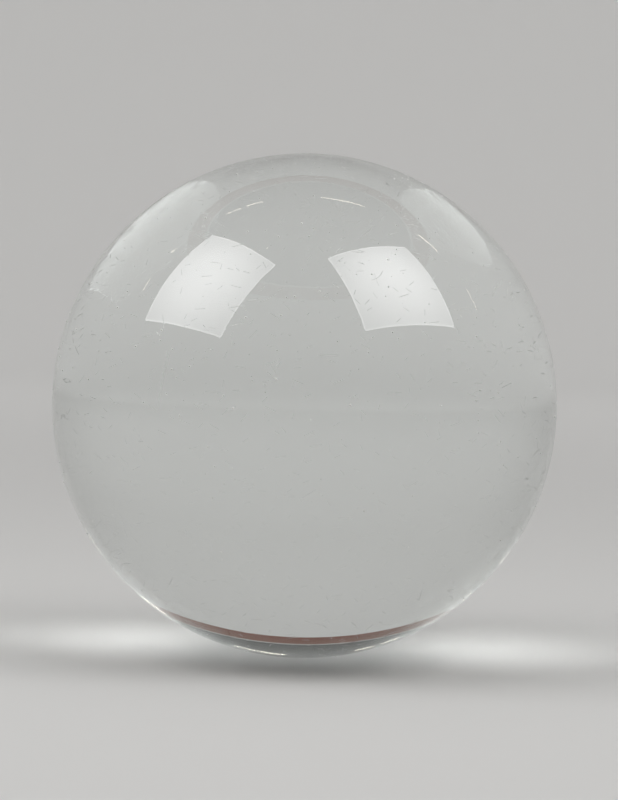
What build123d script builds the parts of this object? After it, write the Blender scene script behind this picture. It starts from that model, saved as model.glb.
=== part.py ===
"""Lens ball: a solid ball of clear optical glass, ground and polished to one diameter all over.

It has no flat, foot, bore or coating. The origin is the ball's lowest point, where it touches
a level surface or the middle of its stand, and +Z runs up through the ball's centre.
"""

import os

from build123d import *

# Driving dimension, in millimetres: the only size that the object has.
ball_diameter = 80.0

ball_radius = ball_diameter / 2

# The ball stands on the origin, so its centre is one radius up.
with BuildPart() as glass_ball:
    with Locations((0, 0, ball_radius)):
        Sphere(radius=ball_radius)

glass_ball.part.label = "glass_ball"

os.makedirs("parts", exist_ok=True)
export_step(glass_ball.part, "parts/glass_ball.step")
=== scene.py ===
"""Lens ball: a solid ball of clear optical glass, hairline-scratched by use and lightly dusty."""

import math
import random

import bmesh
import bpy
from mathutils import Matrix, Vector


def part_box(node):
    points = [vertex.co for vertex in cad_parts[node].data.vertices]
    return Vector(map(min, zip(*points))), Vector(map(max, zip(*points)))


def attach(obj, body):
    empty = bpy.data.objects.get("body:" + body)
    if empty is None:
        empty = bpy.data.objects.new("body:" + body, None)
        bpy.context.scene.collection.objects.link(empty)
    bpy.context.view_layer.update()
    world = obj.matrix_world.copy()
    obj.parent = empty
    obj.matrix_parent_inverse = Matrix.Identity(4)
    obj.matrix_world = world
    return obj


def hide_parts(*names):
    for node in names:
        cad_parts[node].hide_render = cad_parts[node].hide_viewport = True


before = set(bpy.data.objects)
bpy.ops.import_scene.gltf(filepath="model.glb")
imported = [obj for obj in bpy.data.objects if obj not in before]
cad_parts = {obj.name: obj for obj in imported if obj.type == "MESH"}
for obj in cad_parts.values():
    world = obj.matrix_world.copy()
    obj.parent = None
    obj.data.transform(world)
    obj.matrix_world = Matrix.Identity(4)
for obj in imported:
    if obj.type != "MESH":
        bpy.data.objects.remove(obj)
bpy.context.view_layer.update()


# ---- The ball ----
# One solid ball of clear crown glass. It is pressed as a rough blank, then ground and polished
# between ring tools until it is round all over, with no flat, foot or bore.

lowest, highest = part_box("glass_ball")
ball_radius = (highest.z - lowest.z) / 2
ball_centre = Vector((0.0, 0.0, lowest.z + ball_radius))

# Each of the six sides of the blank is this many faces across, so that a face is well under
# a millimetre and its flat stays within about three microns of the true ball.
faces_across = 96


def ground_ball():
    """The ball's skin: the grid on a cube, spread evenly and pushed out to the radius."""
    blank = bmesh.new()
    bmesh.ops.create_cube(blank, size=2.0)
    bmesh.ops.subdivide_edges(blank, edges=blank.edges, cuts=faces_across - 1, use_grid_fill=True)
    for corner in blank.verts:
        evenly = Vector([math.tan(share * math.pi / 4) for share in corner.co])
        corner.co = ball_centre + evenly.normalized() * ball_radius
    for face in blank.faces:
        face.smooth = True
    skin = bpy.data.meshes.new("lens_ball")
    blank.to_mesh(skin)
    blank.free()
    ball = bpy.data.objects.new("lens_ball", skin)
    bpy.context.scene.collection.objects.link(ball)
    return ball


def feed(tree, socket, value):
    """Joins a socket to another one, or sets it to a plain value."""
    if isinstance(value, bpy.types.NodeSocket):
        tree.links.new(value, socket)
    else:
        socket.default_value = value


def reckon(tree, operation, *values):
    """A Math node on numbers or sockets, and its result."""
    node = tree.nodes.new("ShaderNodeMath")
    node.operation = operation
    for socket, value in zip(node.inputs, values):
        feed(tree, socket, value)
    return node.outputs["Value"]


def reckon_vector(tree, operation, *values):
    """A Vector Math node on vectors or sockets, and its result."""
    node = tree.nodes.new("ShaderNodeVectorMath")
    node.operation = operation
    for socket, value in zip(node.inputs, values):
        feed(tree, socket, value)
    return node.outputs["Value" if operation in ("DOT_PRODUCT", "LENGTH") else "Vector"]


def scale_vector(tree, vector, factor):
    """A vector made longer or shorter by a number or a socket."""
    node = tree.nodes.new("ShaderNodeVectorMath")
    node.operation = "SCALE"
    feed(tree, node.inputs["Vector"], vector)
    feed(tree, node.inputs["Scale"], factor)
    return node.outputs["Vector"]


def ramp_between(tree, value, start, end):
    """0 at start and 1 at end, turning smoothly between them."""
    node = tree.nodes.new("ShaderNodeMapRange")
    node.interpolation_type = "SMOOTHSTEP"
    feed(tree, node.inputs["Value"], value)
    feed(tree, node.inputs["From Min"], start)
    feed(tree, node.inputs["From Max"], end)
    return node.outputs["Result"]


# A short scratch is full over this share of its length, and tapers away towards its ends.
full_share = 0.4


def hairline_group():
    """Fine scratches over a ball: one short line at most in each cell of a random honeycomb."""
    group = bpy.data.node_groups.new("hairline_scratches", "ShaderNodeTree")
    sockets = (
        ("Place", "NodeSocketVector"),
        ("Cell Size", "NodeSocketFloat"),
        ("Share Scratched", "NodeSocketFloat"),
        ("Width", "NodeSocketFloat"),
        ("Length", "NodeSocketFloat"),
        ("Levelness", "NodeSocketFloat"),
    )
    for name, kind in sockets:
        group.interface.new_socket(name, in_out="INPUT", socket_type=kind)
    group.interface.new_socket("Mask", in_out="OUTPUT", socket_type="NodeSocketFloat")
    given = group.nodes.new("NodeGroupInput").outputs
    result = group.nodes.new("NodeGroupOutput")

    outward = reckon_vector(group, "NORMALIZE", given["Place"])
    per_cell = reckon(group, "DIVIDE", 1.0, given["Cell Size"])
    in_cells = scale_vector(group, given["Place"], per_cell)
    honeycomb = group.nodes.new("ShaderNodeTexVoronoi")
    honeycomb.voronoi_dimensions = "3D"
    honeycomb.inputs["Scale"].default_value = 1.0
    group.links.new(in_cells, honeycomb.inputs["Vector"])

    # Where this point lies from its cell's middle, measured along the surface.
    offset = scale_vector(
        group,
        reckon_vector(group, "SUBTRACT", in_cells, honeycomb.outputs["Position"]),
        given["Cell Size"],
    )
    height = reckon_vector(group, "DOT_PRODUCT", offset, outward)
    along = reckon_vector(group, "SUBTRACT", offset, scale_vector(group, outward, height))

    # The scratch runs square to a random direction, which leans to upright for level scratches.
    upright = group.nodes.new("ShaderNodeCombineXYZ")
    group.links.new(given["Levelness"], upright.inputs["Z"])
    any_way = reckon_vector(group, "SUBTRACT", honeycomb.outputs["Color"], (0.5, 0.5, 0.5))
    across = reckon_vector(group, "ADD", any_way, upright.outputs["Vector"])
    lean = reckon_vector(group, "DOT_PRODUCT", across, outward)
    across = reckon_vector(group, "SUBTRACT", across, scale_vector(group, outward, lean))
    across = reckon_vector(group, "NORMALIZE", across)

    from_line = reckon(group, "ABSOLUTE", reckon_vector(group, "DOT_PRODUCT", along, across))
    on_line = ramp_between(group, from_line, given["Width"], 0.0)
    half_length = reckon(group, "MULTIPLY", given["Length"], 0.5)
    tapers = reckon(group, "MULTIPLY", half_length, full_share)
    in_length = ramp_between(group, reckon_vector(group, "LENGTH", along), half_length, tapers)

    chance = group.nodes.new("ShaderNodeTexWhiteNoise")
    chance.noise_dimensions = "3D"
    group.links.new(honeycomb.outputs["Position"], chance.inputs["Vector"])
    scratched = reckon(group, "LESS_THAN", chance.outputs["Value"], given["Share Scratched"])
    line = reckon(group, "MULTIPLY", on_line, in_length)
    group.links.new(reckon(group, "MULTIPLY", line, scratched), result.inputs["Mask"])
    return group


def way_at(azimuth, elevation):
    """A direction from the ball: azimuth 0 is the camera's side and 90 is its right."""
    a = math.radians(azimuth)
    e = math.radians(elevation)
    return Vector((math.sin(a) * math.cos(e), -math.cos(a) * math.cos(e), math.sin(e)))


# The one long scratch: where its middle is, how far it leans from upright, its length and how far
# it fades to each side, in metres, and the share of its length that is full.
long_scratch_middle = way_at(-32.0, 7.5)
long_scratch_lean = -7.0
long_scratch_length = 0.0105
long_scratch_width = 0.00012
long_scratch_full_share = 0.7


def long_scratch(tree, place):
    """A mask that is 1 along the one long scratch."""
    sideways = Vector((0, 0, 1)).cross(long_scratch_middle).normalized()
    across = Matrix.Rotation(math.radians(long_scratch_lean), 3, long_scratch_middle) @ sideways
    from_line = reckon(tree, "ABSOLUTE", reckon_vector(tree, "DOT_PRODUCT", place, tuple(across)))
    on_line = ramp_between(tree, from_line, long_scratch_width, 0.0)
    middle = tuple(long_scratch_middle * ball_radius)
    from_middle = reckon_vector(tree, "LENGTH", reckon_vector(tree, "SUBTRACT", place, middle))
    end = long_scratch_length / 2
    in_length = ramp_between(tree, from_middle, end, end * long_scratch_full_share)
    return reckon(tree, "MULTIPLY", on_line, in_length)


# The layers of short scratches, in metres: stray ones, and finer scuffs from being set down.
scratch_layers = (
    # cell size, share of cells scratched, fade to each side, length, levelness
    (0.0068, 0.22, 0.000070, 0.0038, 0.6),
    (0.0042, 0.42, 0.000068, 0.0026, 0.8),
    (0.0022, 0.34, 0.000060, 0.0016, 0.3),
)

# What a scratch does to the polish, and how deep its groove is, in metres.
scratch_roughness = 0.62
groove_depth = 0.00002
groove_strength = 0.22

# The ball is always set down the same way, so its far side has hardly been scuffed. Scratches
# fade between these two places, which are shares of the radius behind the ball's middle.
scuffs_faint = 0.35
scuffs_full = -0.15
far_side_share = 0.15

# The glass: how strongly it bends light, its faint tint, and the tint that it gains with depth.
crown_glass_ior = 1.517
glass_tint = (0.99, 0.995, 0.993, 1.0)
depth_tint = (0.90, 0.97, 0.94, 1.0)
depth_tint_density = 4.0


def clear_glass():
    """Polished crown glass: clean but for its hairline scratches."""
    glass = bpy.data.materials.new("clear_crown_glass")
    glass.use_nodes = True
    tree = glass.node_tree
    shader = tree.nodes["Principled BSDF"]
    shader.inputs["IOR"].default_value = crown_glass_ior
    shader.inputs["Transmission Weight"].default_value = 1.0
    shader.inputs["Metallic"].default_value = 0.0

    place = tree.nodes.new("ShaderNodeTexCoord").outputs["Object"]
    place = reckon_vector(tree, "SUBTRACT", place, tuple(ball_centre))
    hairlines = hairline_group()
    scratched = long_scratch(tree, place)
    for cell, share, width, length, levelness in scratch_layers:
        layer = tree.nodes.new("ShaderNodeGroup")
        layer.node_tree = hairlines
        tree.links.new(place, layer.inputs["Place"])
        layer.inputs["Cell Size"].default_value = cell
        layer.inputs["Share Scratched"].default_value = share
        layer.inputs["Width"].default_value = width
        layer.inputs["Length"].default_value = length
        layer.inputs["Levelness"].default_value = levelness
        scratched = reckon(tree, "MAXIMUM", scratched, layer.outputs["Mask"])

    # The scratches grow faint towards the far side.
    sides = tree.nodes.new("ShaderNodeSeparateXYZ")
    tree.links.new(place, sides.inputs["Vector"])
    faint = ball_radius * scuffs_faint
    full = ball_radius * scuffs_full
    handled = ramp_between(tree, sides.outputs["Y"], faint, full)
    handled = reckon(tree, "MULTIPLY_ADD", handled, 1 - far_side_share, far_side_share)
    scratched = reckon(tree, "MULTIPLY", scratched, handled)
    roughness = reckon(tree, "MULTIPLY", scratched, scratch_roughness)
    tree.links.new(roughness, shader.inputs["Roughness"])
    groove = tree.nodes.new("ShaderNodeBump")
    groove.invert = True
    groove.inputs["Distance"].default_value = groove_depth
    groove.inputs["Strength"].default_value = groove_strength
    tree.links.new(scratched, groove.inputs["Height"])
    tree.links.new(groove.outputs["Normal"], shader.inputs["Normal"])
    shader.inputs["Base Color"].default_value = glass_tint

    depth = tree.nodes.new("ShaderNodeVolumeAbsorption")
    depth.inputs["Color"].default_value = depth_tint
    depth.inputs["Density"].default_value = depth_tint_density
    tree.links.new(depth.outputs["Volume"], tree.nodes["Material Output"].inputs["Volume"])
    return glass


ball = ground_ball()
ball.data.materials.append(clear_glass())
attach(ball, "root")
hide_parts("glass_ball")


# ---- The dust ----
# Specks of house dust and a few lint fibres that have settled on the ball and cling to it.
# They are loose and dry, thickest on top, and stand up to a fifth of a millimetre proud.

speck_count = 760
smallest_speck = 0.00005
largest_speck = 0.00018
far_side_speck = 0.00005
fibre_count = 16
fibre_radius = 0.000016
fibre_sides = 5
fibre_stations = 9

# Where dust clings: its chance on the underside, how sharply it gathers on top, where the far side
# and the very top begin, in shares of the radius, and its chance on the far side.
underside_chance = 0.18
gathers_on_top = 1.6
far_side_starts = 0.1
very_top_starts = 0.95
far_side_chance = 0.02


def clinging_place(chance):
    """A random direction out of the ball. More dust settles on top, and little on the far side."""
    while True:
        way = Vector((chance.gauss(0, 1), chance.gauss(0, 1), chance.gauss(0, 1))).normalized()
        height = (way.z + 1) / 2
        on_top = underside_chance + (1 - underside_chance) * height ** gathers_on_top
        in_reach = way.y < far_side_starts or way.z > very_top_starts
        on_this_side = 1.0 if in_reach else far_side_chance
        if chance.random() < on_top * on_this_side:
            return way


def settle_speck(dust, chance):
    """One flake: a small lump, flattened against the glass."""
    way = clinging_place(chance)
    size = smallest_speck + (largest_speck - smallest_speck) * chance.random() ** 2
    if way.y > far_side_starts:
        size = min(size, far_side_speck)
    made = bmesh.ops.create_icosphere(dust, subdivisions=1, radius=1.0)["verts"]
    turned = way.to_track_quat("Z", "Y").to_matrix()
    stretch = Vector((chance.uniform(0.7, 1.5), chance.uniform(0.7, 1.2), chance.uniform(0.5, 0.9)))
    for corner in made:
        lumpy = corner.co * chance.uniform(0.75, 1.2)
        lump = Vector([side * pull for side, pull in zip(lumpy, stretch)])
        corner.co = ball_centre + way * ball_radius + turned @ (lump * size)


def settle_fibre(dust, chance):
    """One lint fibre: a thin bent tube that follows the glass."""
    way = clinging_place(chance)
    length = chance.uniform(0.0008, 0.0024)
    turned = way.to_track_quat("Z", "Y").to_matrix()
    heading = chance.uniform(0, 2 * math.pi)
    bend = chance.uniform(-1.2, 1.2)
    rings = []
    for station in range(fibre_stations):
        along = station / (fibre_stations - 1) - 0.5
        angle = heading + bend * along
        flat = Vector((math.cos(angle), math.sin(angle), 0)) * along * length
        side = Vector((-math.sin(angle), math.cos(angle), 0))
        middle = ball_centre + (way * ball_radius + turned @ flat).normalized() * ball_radius
        outward = (middle - ball_centre).normalized()
        middle += outward * fibre_radius
        ring = []
        for turn in range(fibre_sides):
            round_it = 2 * math.pi * turn / fibre_sides
            reach = turned @ side * math.cos(round_it) + outward * math.sin(round_it)
            ring.append(dust.verts.new(middle + reach * fibre_radius))
        rings.append(ring)
    for near, far in zip(rings, rings[1:]):
        for turn in range(fibre_sides):
            following = (turn + 1) % fibre_sides
            dust.faces.new((near[turn], near[following], far[following], far[turn]))
    dust.faces.new(list(reversed(rings[0])))
    dust.faces.new(rings[-1])


def settled_dust():
    """All the specks and fibres, as one mesh."""
    chance = random.Random(7)
    dust = bmesh.new()
    for _ in range(speck_count):
        settle_speck(dust, chance)
    for _ in range(fibre_count):
        settle_fibre(dust, chance)
    bmesh.ops.recalc_face_normals(dust, faces=dust.faces)
    mesh = bpy.data.meshes.new("settled_dust")
    dust.to_mesh(mesh)
    dust.free()
    piece = bpy.data.objects.new("settled_dust", mesh)
    bpy.context.scene.collection.objects.link(piece)
    return piece


# Two pale tones, in patches about a millimetre across.
darker_dust = (0.90, 0.89, 0.87, 1.0)
lighter_dust = (0.98, 0.98, 0.97, 1.0)
patches_per_metre = 900.0
dust_roughness = 0.9


def pale_dust():
    """Dry pale dust, a little lighter or darker from speck to speck."""
    dust = bpy.data.materials.new("pale_dust")
    dust.use_nodes = True
    tree = dust.node_tree
    shader = tree.nodes["Principled BSDF"]
    patches = tree.nodes.new("ShaderNodeTexNoise")
    patches.inputs["Scale"].default_value = patches_per_metre
    place = tree.nodes.new("ShaderNodeTexCoord").outputs["Object"]
    tree.links.new(place, patches.inputs["Vector"])
    shades = tree.nodes.new("ShaderNodeValToRGB")
    shades.color_ramp.elements[0].color = darker_dust
    shades.color_ramp.elements[1].color = lighter_dust
    tree.links.new(patches.outputs["Fac"], shades.inputs["Fac"])
    tree.links.new(shades.outputs["Color"], shader.inputs["Base Color"])
    shader.inputs["Roughness"].default_value = dust_roughness
    return dust


dust = settled_dust()
dust.data.materials.append(pale_dust())
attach(dust, "root")


# ---- The cove ----
# A round studio cove of pale matt board: a flat floor that sweeps up into a wall all round, so
# that there is a plain pale ground behind the ball from any side.

floor_reach = 0.95
sweep_radius = 0.45
wall_top = 1.73
cove_sides = 96
sweep_steps = 16
floor_rings = (0.25, 0.60)
cove_colour = (0.66, 0.655, 0.645, 1.0)
board_roughness = 0.95
board_shine = 0.1

# The walls' glow: its level, how far from the middle it starts and is full, in metres, and its
# share on the two sides. It turns from that to full between these shares of the way to an end.
wall_glow = 0.19
glow_starts = 0.08
glow_full = 0.86
side_glow = 0.5
side_wall_ends = 0.25
end_wall_starts = 0.90


def round_cove():
    """The cove as one turned sheet: floor, quarter-round sweep and wall."""
    outline = [(reach, 0.0) for reach in floor_rings]
    for step in range(sweep_steps + 1):
        angle = math.radians(90 * step / sweep_steps)
        outline.append((
            floor_reach + sweep_radius * math.sin(angle),
            sweep_radius * (1 - math.cos(angle)),
        ))
    outline.append((floor_reach + sweep_radius, wall_top))
    sheet = bmesh.new()
    rings = []
    for reach, height in outline:
        rings.append([
            sheet.verts.new((
                reach * math.cos(2 * math.pi * turn / cove_sides),
                reach * math.sin(2 * math.pi * turn / cove_sides),
                height,
            ))
            for turn in range(cove_sides)
        ])
    middle = sheet.verts.new((0.0, 0.0, 0.0))
    for turn in range(cove_sides):
        following = (turn + 1) % cove_sides
        sheet.faces.new((middle, rings[0][turn], rings[0][following]))
        for inner, outer in zip(rings, rings[1:]):
            sheet.faces.new((inner[turn], outer[turn], outer[following], inner[following]))
    for face in sheet.faces:
        face.smooth = True
    mesh = bpy.data.meshes.new("studio_cove")
    sheet.to_mesh(mesh)
    sheet.free()
    cove = bpy.data.objects.new("studio_cove", mesh)
    bpy.context.scene.collection.objects.link(cove)
    return cove


def pale_ground_seen(tree):
    """1 for the camera and for what the glass mirrors or bends, and 0 for light falling on things."""
    seen = tree.nodes.new("ShaderNodeLightPath").outputs
    either = reckon(tree, "MAXIMUM", seen["Is Camera Ray"], seen["Is Glossy Ray"])
    return reckon(tree, "MAXIMUM", either, seen["Is Transmission Ray"])


def matt_board():
    """Pale matt board. Its walls glow faintly, so that they are about as pale as the floor."""
    board = bpy.data.materials.new("matt_board")
    board.use_nodes = True
    tree = board.node_tree
    shader = tree.nodes["Principled BSDF"]
    shader.inputs["Base Color"].default_value = cove_colour
    shader.inputs["Roughness"].default_value = board_roughness
    shader.inputs["Specular IOR Level"].default_value = board_shine
    shader.inputs["Emission Color"].default_value = cove_colour
    place = tree.nodes.new("ShaderNodeTexCoord").outputs["Object"]
    from_middle = reckon_vector(tree, "LENGTH", place)
    far_off = ramp_between(tree, from_middle, glow_starts, glow_full)
    on_plan = reckon_vector(tree, "MULTIPLY", place, (1.0, 1.0, 0.0))
    ahead = tree.nodes.new("ShaderNodeSeparateXYZ")
    tree.links.new(reckon_vector(tree, "NORMALIZE", on_plan), ahead.inputs["Vector"])
    to_an_end = reckon(tree, "ABSOLUTE", ahead.outputs["Y"])
    end_wall = ramp_between(tree, to_an_end, side_wall_ends, end_wall_starts)
    glow = reckon(tree, "MULTIPLY_ADD", end_wall, 1 - side_glow, side_glow)
    glow = reckon(tree, "MULTIPLY", glow, far_off)
    glow = reckon(tree, "MULTIPLY", glow, wall_glow / cove_colour[0])
    glow = reckon(tree, "MULTIPLY", glow, pale_ground_seen(tree))
    tree.links.new(glow, shader.inputs["Emission Strength"])
    return board


cove = round_cove()
cove.data.materials.append(matt_board())

# Timber boarding stands above the cove all round, with a thin pale rail along its top. The ball's
# lower edge shows them as a brown band with a fine light line under it.
timber_top = 2.13
rail_top = 2.19
timber_colour = (0.27, 0.055, 0.010, 1.0)
rail_colour = (0.75, 0.74, 0.70, 1.0)
band_roughness = 0.8


def upper_band(name, bottom, top, colour):
    """A plain band round the room, which lets the soft fill through to the table."""
    sheet = bmesh.new()
    reach = floor_reach + sweep_radius
    ways = [2 * math.pi * turn / cove_sides for turn in range(cove_sides)]
    low = [sheet.verts.new((reach * math.cos(a), reach * math.sin(a), bottom)) for a in ways]
    high = [sheet.verts.new((reach * math.cos(a), reach * math.sin(a), top)) for a in ways]
    for turn in range(cove_sides):
        following = (turn + 1) % cove_sides
        sheet.faces.new((low[turn], high[turn], high[following], low[following]))
    mesh = bpy.data.meshes.new(name)
    sheet.to_mesh(mesh)
    sheet.free()
    finish = bpy.data.materials.new(name)
    finish.use_nodes = True
    finish.node_tree.nodes["Principled BSDF"].inputs["Base Color"].default_value = colour
    finish.node_tree.nodes["Principled BSDF"].inputs["Roughness"].default_value = band_roughness
    mesh.materials.append(finish)
    band = bpy.data.objects.new(name, mesh)
    bpy.context.scene.collection.objects.link(band)
    band.visible_diffuse = False
    band.visible_shadow = False


upper_band("timber_boarding", wall_top, timber_top, timber_colour)
upper_band("pale_rail", timber_top, rail_top, rail_colour)


# ---- The soft boxes ----
# Two square soft boxes, high on the left and right and a little in front. Each is a lit fabric
# face, which the glass mirrors and bends, and a weaker lamp in its place, which lights the board.

box_side = 0.40
box_distance = 0.57
fabric_strength = 6.6
lamp_power = 1.25

# The light that the ball gathers onto the board: about twice the level of the lamps themselves,
# so that its two bright patches stand out on so pale a floor.
gathered_strength = 5.6

# A box that is seen straight through the ball, with no mirroring on the way, is a plain white.
straight_strength = 0.95

# How the fabric glows, by the distance from its middle in metres. It is full inside full_reach,
# falls to edge_level at edge_reach, and is a little brighter in the very middle. Its hem,
# measured square to its sides, is brighter again.
full_reach = 0.05
edge_reach = 0.30
edge_level = 0.50
bright_middle_reach = 0.07
bright_middle = 0.09
hem_starts = 0.190
hem_full = 0.196
bright_hem = 0.26

# Each box: name, azimuth from the camera's side, elevation, heading of its face, and its dip.
soft_boxes = (
    ("left", -67, 50, 122, 34),
    ("right", 61, 54, -139, 28),
)


def glow_seen(tree, seen_directly, seen_by_the_board):
    """One strength for what the glass shows the camera, and a lower one for light on the board."""
    bounces = tree.nodes.new("ShaderNodeLightPath").outputs["Diffuse Depth"]
    by_the_board = reckon(tree, "GREATER_THAN", bounces, 0.5)
    return reckon(tree, "MULTIPLY_ADD", by_the_board, seen_by_the_board - seen_directly, seen_directly)


def lit_fabric():
    """The glowing front of a soft box: brightest in the middle, with a fine bright hem."""
    fabric = bpy.data.materials.new("lit_fabric")
    fabric.use_nodes = True
    tree = fabric.node_tree
    tree.nodes.remove(tree.nodes["Principled BSDF"])
    place = tree.nodes.new("ShaderNodeTexCoord").outputs["Object"]
    sides = tree.nodes.new("ShaderNodeSeparateXYZ")
    tree.links.new(place, sides.inputs["Vector"])
    x_side = reckon(tree, "ABSOLUTE", sides.outputs["X"])
    y_side = reckon(tree, "ABSOLUTE", sides.outputs["Y"])
    to_side = reckon(tree, "MAXIMUM", x_side, y_side)
    hem = ramp_between(tree, to_side, hem_starts, hem_full)
    from_middle = reckon_vector(tree, "LENGTH", place)
    middle = ramp_between(tree, from_middle, bright_middle_reach, 0.0)
    fall = ramp_between(tree, from_middle, edge_reach, full_reach)
    glow = reckon(tree, "MULTIPLY_ADD", fall, 1 - edge_level, edge_level)
    glow = reckon(tree, "MULTIPLY_ADD", middle, bright_middle, glow)
    glow = reckon(tree, "MULTIPLY_ADD", hem, bright_hem, glow)
    strength = glow_seen(tree, fabric_strength, gathered_strength)
    glow = reckon(tree, "MULTIPLY", glow, strength)
    seen = tree.nodes.new("ShaderNodeLightPath").outputs
    mirrorings = reckon(tree, "ADD", seen["Glossy Depth"], seen["Diffuse Depth"])
    straight = reckon(tree, "LESS_THAN", mirrorings, 0.5)
    capped = reckon(tree, "MINIMUM", glow, straight_strength)
    less = reckon(tree, "MULTIPLY", reckon(tree, "SUBTRACT", capped, glow), straight)
    light = tree.nodes.new("ShaderNodeEmission")
    tree.links.new(reckon(tree, "ADD", glow, less), light.inputs["Strength"])
    tree.links.new(light.outputs["Emission"], tree.nodes["Material Output"].inputs["Surface"])
    return fabric


fabric = lit_fabric()
for name, azimuth, elevation, heading, dip in soft_boxes:
    middle = ball_centre + way_at(azimuth, elevation) * box_distance
    face_way = way_at(heading, -dip)
    level = face_way.cross(Vector((0, 0, 1))).normalized()
    face = bmesh.new()
    bmesh.ops.create_grid(face, x_segments=4, y_segments=4, size=box_side / 2)
    mesh = bpy.data.meshes.new("soft_box_" + name)
    face.to_mesh(mesh)
    face.free()
    mesh.materials.append(fabric)
    box = bpy.data.objects.new("soft_box_" + name, mesh)
    turned = Matrix((level, face_way.cross(level) * -1, face_way)).transposed().to_4x4()
    box.matrix_world = Matrix.Translation(middle) @ turned
    bpy.context.scene.collection.objects.link(box)
    box.visible_camera = False
    box.visible_diffuse = False
    box.visible_shadow = False

    lamp = bpy.data.lights.new("lamp_" + name, "AREA")
    lamp.shape = "SQUARE"
    lamp.size = box_side
    lamp.energy = lamp_power
    holder = bpy.data.objects.new("lamp_" + name, lamp)
    holder.location = middle
    holder.rotation_mode = "QUATERNION"
    holder.rotation_quaternion = face_way.to_track_quat("-Z", "Y")
    holder.visible_camera = False
    holder.visible_glossy = False
    holder.visible_transmission = False
    bpy.context.scene.collection.objects.link(holder)

# A row of thin tube lamps hangs over the ball and a little behind it. Only the glass shows them.
# The glass mirrors them near its top, where they are faint, and bends them near its lower edge.
tube_height = 0.80
tube_depth = 0.27
tube_width = 0.009
tube_colour = (1.0, 0.93, 0.80, 1.0)
bent_tube_strength = 26.0
mirrored_tube_strength = 7.0
tube_row = (
    # the two ends of each tube, measured along the row to the right
    (-1.210, -1.045),
    (-0.760, -0.700),
    (-0.360, -0.285),
    (-0.260, -0.228),
    (-0.224, -0.190),
    (0.040, 0.220),
    (0.505, 0.665),
    (1.070, 1.370),
)
tube_glass = bpy.data.materials.new("lit_tube")
tube_glass.use_nodes = True
tree = tube_glass.node_tree
tree.nodes.remove(tree.nodes["Principled BSDF"])
light = tree.nodes.new("ShaderNodeEmission")
light.inputs["Color"].default_value = tube_colour
bent = tree.nodes.new("ShaderNodeLightPath").outputs["Is Transmission Ray"]
more = bent_tube_strength - mirrored_tube_strength
strength = reckon(tree, "MULTIPLY_ADD", bent, more, mirrored_tube_strength)
in_glass_only = glow_seen(tree, 1.0, 0.0)
tree.links.new(reckon(tree, "MULTIPLY", strength, in_glass_only), light.inputs["Strength"])
tree.links.new(light.outputs["Emission"], tree.nodes["Material Output"].inputs["Surface"])
tubes = bmesh.new()
for start, stop in tube_row:
    corners = []
    for along, side in ((start, -1), (stop, -1), (stop, 1), (start, 1)):
        across = tube_depth + side * tube_width / 2
        corners.append(tubes.verts.new((along, across, ball_centre.z + tube_height)))
    tubes.faces.new(corners)
mesh = bpy.data.meshes.new("tube_lamps")
tubes.to_mesh(mesh)
tubes.free()
mesh.materials.append(tube_glass)
row = bpy.data.objects.new("tube_lamps", mesh)
bpy.context.scene.collection.objects.link(row)
row.visible_camera = False
row.visible_diffuse = False
row.visible_shadow = False

# The room over the cove is dim where the glass sees it, and fills the shadows with soft light.
dim_room = (0.045, 0.045, 0.045, 1.0)
fill_strength = 0.62
room = bpy.data.worlds.new("room")
bpy.context.scene.world = room
room.use_nodes = True
tree = room.node_tree
sky = tree.nodes["Background"]
sky.inputs["Color"].default_value = dim_room
fill = tree.nodes.new("ShaderNodeBackground")
fill.inputs["Color"].default_value = (1.0, 1.0, 1.0, 1.0)
fill.inputs["Strength"].default_value = fill_strength
choose = tree.nodes.new("ShaderNodeMixShader")
seen = tree.nodes.new("ShaderNodeLightPath")
tree.links.new(seen.outputs["Is Diffuse Ray"], choose.inputs["Fac"])
tree.links.new(sky.outputs["Background"], choose.inputs[1])
tree.links.new(fill.outputs["Background"], choose.inputs[2])
tree.links.new(choose.outputs["Shader"], tree.nodes["World Output"].inputs["Surface"])


# ---- The camera ----
# A long lens, almost level with the ball and turned by a degree or so.

lens_length = 135.0
camera_distance = 0.477
camera_elevation = 3.0
camera_roll = 1.5
aim_right = 0.0007
aim_up = 0.0009

tilt = math.radians(camera_elevation)
roll = math.radians(camera_roll)
back = Vector((0.0, -math.cos(tilt), math.sin(tilt)))
level_right = Vector((1.0, 0.0, 0.0))
level_up = back.cross(level_right)
camera_right = level_right * math.cos(roll) + level_up * math.sin(roll)
camera_up = level_up * math.cos(roll) - level_right * math.sin(roll)
aim = ball_centre + camera_right * aim_right + camera_up * aim_up
camera_data = bpy.data.cameras.new("camera")
camera_data.lens = lens_length
camera_data.sensor_width = 36.0
camera_data.clip_start = 0.01
camera = bpy.data.objects.new("camera", camera_data)
axes = Matrix((camera_right, camera_up, back)).transposed().to_4x4()
camera.matrix_world = Matrix.Translation(aim + back * camera_distance) @ axes
bpy.context.scene.collection.objects.link(camera)
bpy.context.scene.camera = camera
bpy.context.scene.view_settings.view_transform = "Standard"
